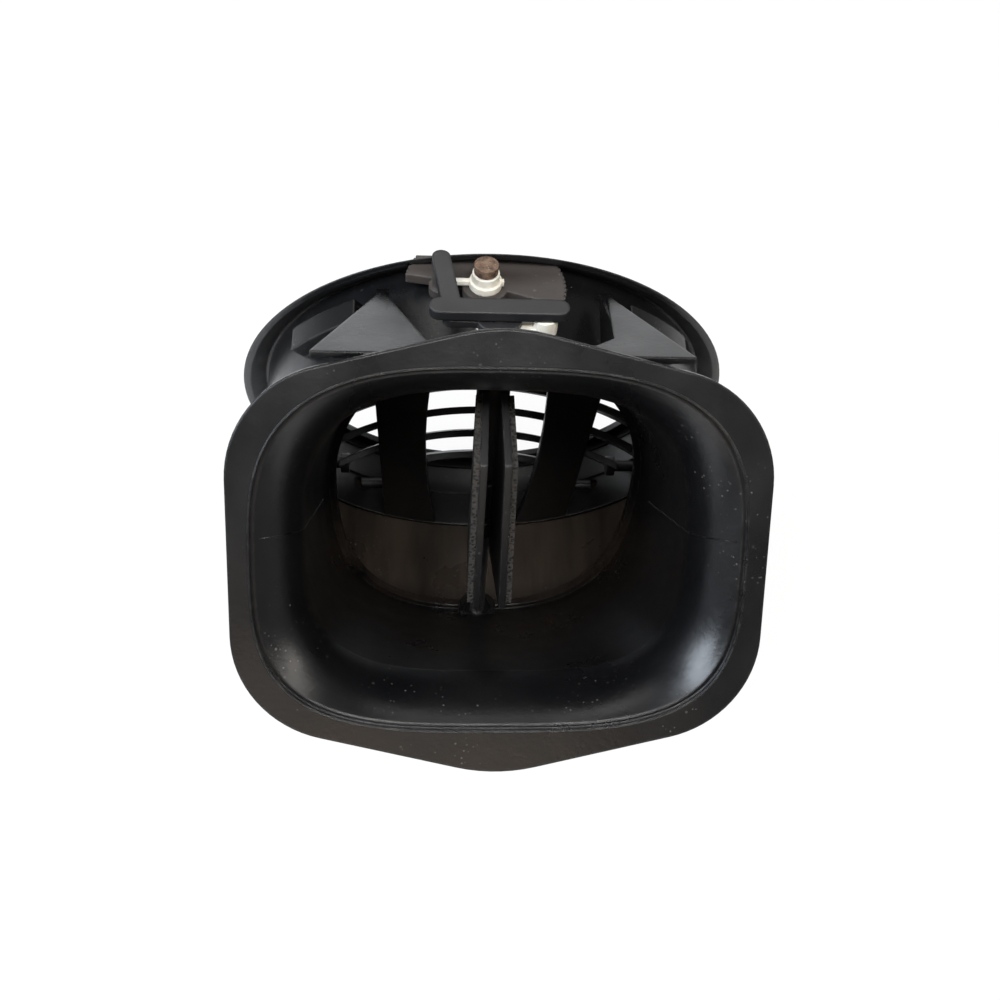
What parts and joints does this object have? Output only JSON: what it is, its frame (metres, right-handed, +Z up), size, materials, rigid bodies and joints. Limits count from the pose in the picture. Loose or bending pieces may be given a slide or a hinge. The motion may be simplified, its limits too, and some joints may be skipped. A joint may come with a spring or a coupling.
{
  "type": "dashboard air vent",
  "caption": "Round dashboard air vent with a rotating louvre insert, a bent inlet duct with a gabled flange, and folding damper flaps worked by a thumbwheel.",
  "frame": {"origin": "centre of the bezel's rear rim plane, on the vent's axis", "axes": "+Y along the vent's axis from its face towards the car's duct, +Z up towards the damper linkage, +X to the left as seen from behind"},
  "size_m": [0.11, 0.0992, 0.1312],
  "materials": {
    "housing_black": "moulded black, soft gloss, dusty",
    "bezel_black": "fine grained moulded black",
    "insert_black": "moulded black",
    "louvre_black": "moulded black",
    "wheel_brown": "dusty brown-grey with a knurled edge",
    "nylon_cream": "natural cream nylon",
    "axle_brown": "dull browned pin head",
    "spindle_steel": "drawn steel",
    "flap_black": "moulded black",
    "foam_grey": "open-cell sealing foam",
    "bush_black": "moulded black",
    "link_black": "worn grey-black"
  },
  "bodies": {
    "housing": {"duct_housing": "housing_black", "bezel_ring": "bezel_black", "wheel_axle": "axle_brown", "upper_bush": "bush_black", "lower_bush": "bush_black"},
    "insert": {"louvre_insert": "insert_black"},
    "louvre_1_body": {"louvre_1": "louvre_black"},
    "louvre_2_body": {"louvre_2": "louvre_black"},
    "louvre_3_body": {"louvre_3": "louvre_black"},
    "louvre_4_body": {"louvre_4": "louvre_black"},
    "louvre_5_body": {"louvre_5": "louvre_black"},
    "louvre_6_body": {"louvre_6": "louvre_black"},
    "louvre_7_body": {"louvre_7": "louvre_black"},
    "tie": {"louvre_tie": "louvre_black"},
    "wheel": {"thumbwheel": "wheel_brown", "wheel_hub": "nylon_cream"},
    "right_damper": {"flap_right": "flap_black", "flap_foam_right": "foam_grey", "damper_spindle": "spindle_steel", "damper_crank": "link_black"},
    "left_damper": {"flap_left": "flap_black", "flap_foam_left": "foam_grey", "sleeve_crank": "nylon_cream"},
    "link": {"link_bar": "link_black"}
  },
  "joints": [
    {"name": "insert_turn", "type": "hinge", "parent": "housing", "child": "insert", "pos_m": [0, 0, 0], "axis": [0, 1, 0], "range_deg": [-90, 90]},
    {"name": "louvre_1_tilt", "type": "hinge", "parent": "insert", "child": "louvre_1_body", "pos_m": [0, 0.0061, -0.0354], "axis": [1, 0, 0], "range_deg": [-36, 10]},
    {"name": "louvre_2_tilt", "type": "hinge", "parent": "insert", "child": "louvre_2_body", "pos_m": [0, 0.0061, -0.0236], "axis": [1, 0, 0], "range_deg": [-36, 10]},
    {"name": "louvre_3_tilt", "type": "hinge", "parent": "insert", "child": "louvre_3_body", "pos_m": [0, 0.0061, -0.0118], "axis": [1, 0, 0], "range_deg": [-36, 10]},
    {"name": "louvre_4_tilt", "type": "hinge", "parent": "insert", "child": "louvre_4_body", "pos_m": [0, 0.0061, 0], "axis": [1, 0, 0], "range_deg": [-36, 10]},
    {"name": "louvre_5_tilt", "type": "hinge", "parent": "insert", "child": "louvre_5_body", "pos_m": [0, 0.0061, 0.0118], "axis": [1, 0, 0], "range_deg": [-36, 10]},
    {"name": "louvre_6_tilt", "type": "hinge", "parent": "insert", "child": "louvre_6_body", "pos_m": [0, 0.0061, 0.0236], "axis": [1, 0, 0], "range_deg": [-36, 10]},
    {"name": "louvre_7_tilt", "type": "hinge", "parent": "insert", "child": "louvre_7_body", "pos_m": [0, 0.0061, 0.0354], "axis": [1, 0, 0], "range_deg": [-36, 10]},
    {"name": "tie_swing", "type": "hinge", "parent": "louvre_4_body", "child": "tie", "pos_m": [0, 0.01292, 0.00158], "axis": [1, 0, 0], "range_deg": [-10, 36]},
    {"name": "wheel_turn", "type": "hinge", "parent": "housing", "child": "wheel", "pos_m": [0.002, 0.0171, -0.00276], "axis": [0, -0.2141, 0.9768], "range_deg": [0, 75]},
    {"name": "flap_right_swing", "type": "hinge", "parent": "housing", "child": "right_damper", "pos_m": [0, 0.0297, 0], "axis": [0, -0.2141, 0.9768], "range_deg": [0, 75]},
    {"name": "flap_left_swing", "type": "hinge", "parent": "housing", "child": "left_damper", "pos_m": [0, 0.0297, 0], "axis": [0, -0.2141, 0.9768], "range_deg": [-75, 0]},
    {"name": "link_swing", "type": "hinge", "parent": "right_damper", "child": "link", "pos_m": [0.0085, 0.0297, 0], "axis": [0, -0.2141, 0.9768], "range_deg": [-75, 0]}
  ],
  "couplings": [
    {"joint": "louvre_1_tilt", "follows": "louvre_4_tilt", "ratio": 1},
    {"joint": "louvre_2_tilt", "follows": "louvre_4_tilt", "ratio": 1},
    {"joint": "louvre_3_tilt", "follows": "louvre_4_tilt", "ratio": 1},
    {"joint": "louvre_5_tilt", "follows": "louvre_4_tilt", "ratio": 1},
    {"joint": "louvre_6_tilt", "follows": "louvre_4_tilt", "ratio": 1},
    {"joint": "louvre_7_tilt", "follows": "louvre_4_tilt", "ratio": 1},
    {"joint": "tie_swing", "follows": "louvre_4_tilt", "ratio": -1},
    {"joint": "flap_right_swing", "follows": "wheel_turn", "ratio": 1},
    {"joint": "flap_left_swing", "follows": "wheel_turn", "ratio": -1},
    {"joint": "link_swing", "follows": "wheel_turn", "ratio": -1}
  ]
}
